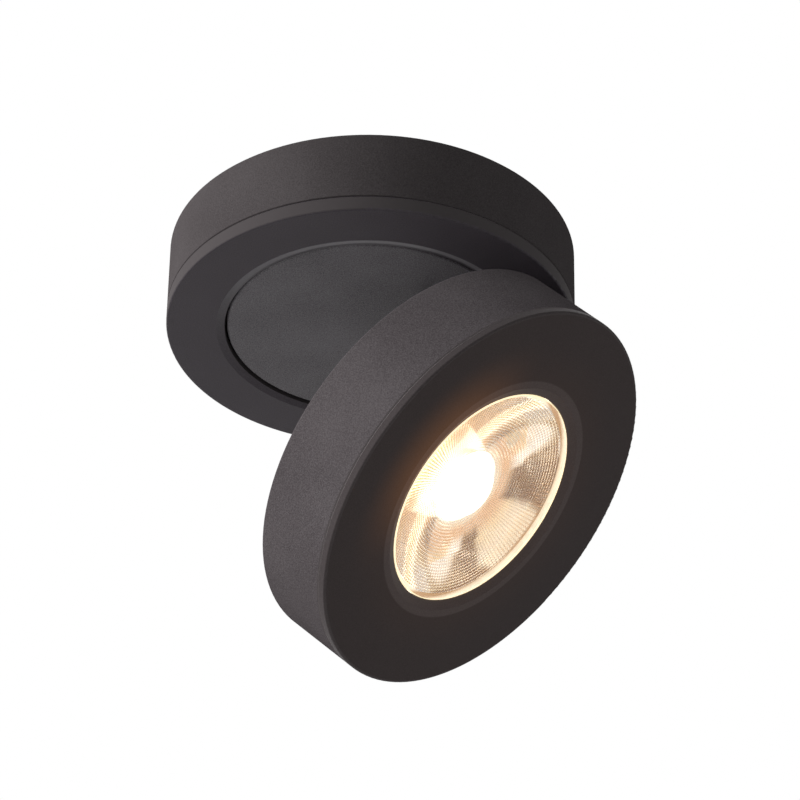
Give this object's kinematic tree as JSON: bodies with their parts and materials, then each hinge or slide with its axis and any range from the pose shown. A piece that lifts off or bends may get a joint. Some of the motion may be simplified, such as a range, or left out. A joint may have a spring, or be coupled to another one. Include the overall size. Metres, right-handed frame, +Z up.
{
  "type": "led spotlight",
  "caption": "Round black surface-mounted ceiling spotlight: a disc base carries a disc head on a recessed turntable and an edge hinge, so the lit lens can be swivelled, tilted or folded flat.",
  "frame": {"origin": "centre of the mounting plane, where the strap and the base's rim meet the ceiling", "axes": "+Z up into the ceiling along the swivel axis, +X along the mounting strap, -Y towards the viewer of the picture"},
  "size_m": [0.1146, 0.1075, 0.1116],
  "materials": {
    "textured_black_coat": "coarse black powder coat on die-cast aluminium",
    "smooth_black_coat": "fine matt black coat on die-cast aluminium",
    "turntable_coat": "sand-textured black coat on die-cast aluminium",
    "black_arm_coat": "satin black coat on cast aluminium",
    "zinc_steel": "bright zinc plate",
    "black_steel": "black oxide",
    "spring_steel": "plain spring steel",
    "acetal": "moulded natural acetal",
    "white_plastic": "moulded matt white",
    "board_green": "solder mask",
    "ferrite_tape": "wound core with amber tape",
    "capacitor_sleeve": "shrink sleeve",
    "terminal_nylon": "moulded nylon",
    "brass": "turned",
    "black_rubber": "moulded",
    "clear_silicone": "translucent silicone",
    "grey_pad": "thermal pad",
    "clear_acrylic": "optical moulding, clear",
    "bare_aluminium": "mirror aluminium board",
    "phosphor": "phosphor silicone, lit warm white",
    "lead_insulation": "extruded insulation"
  },
  "bodies": {
    "base": {"base_housing": "smooth_black_coat", "base_face_ring": "smooth_black_coat", "face_ring_screws": "zinc_steel", "mounting_strap": "zinc_steel", "side_screws": "black_steel", "swivel_bush": "acetal", "stop_pin": "zinc_steel", "driver_case": "white_plastic", "driver_lid": "white_plastic", "driver_board": "board_green", "driver_transformer": "ferrite_tape", "driver_capacitors": "capacitor_sleeve", "driver_screws": "zinc_steel", "terminal_block": "terminal_nylon", "terminal_screws": "brass", "terminal_inserts": "brass", "supply_leads": "lead_insulation", "output_leads": "lead_insulation"},
    "turntable": {"turntable_disc": "turntable_coat", "thrust_washer": "acetal", "disc_spring": "spring_steel", "swivel_nut": "zinc_steel", "swivel_arm": "black_arm_coat", "arm_screws": "black_steel", "hinge_pin": "black_steel", "hinge_cap": "black_steel", "turntable_grommet": "black_rubber"},
    "head": {"head_housing": "textured_black_coat", "front_bezel": "smooth_black_coat", "lens_gasket": "clear_silicone", "lens": "clear_acrylic", "lens_support": "white_plastic", "thermal_pad": "grey_pad", "cob_board": "bare_aluminium", "cob_emitter": "phosphor", "cob_holder": "white_plastic", "cob_holder_screws": "zinc_steel", "hinge_washers": "acetal", "head_grommet": "black_rubber", "cob_leads": "lead_insulation"}
  },
  "joints": [
    {"name": "swivel", "type": "hinge", "parent": "base", "child": "turntable", "pos_m": [0, 0, 0], "axis": [0, 0, 1], "range_deg": [-175, 175]},
    {"name": "tilt", "type": "hinge", "parent": "turntable", "child": "head", "pos_m": [0.04292, -0.01353, -0.02855], "axis": [-0.3007, -0.9537, 0], "range_deg": [-45, 45]}
  ]
}
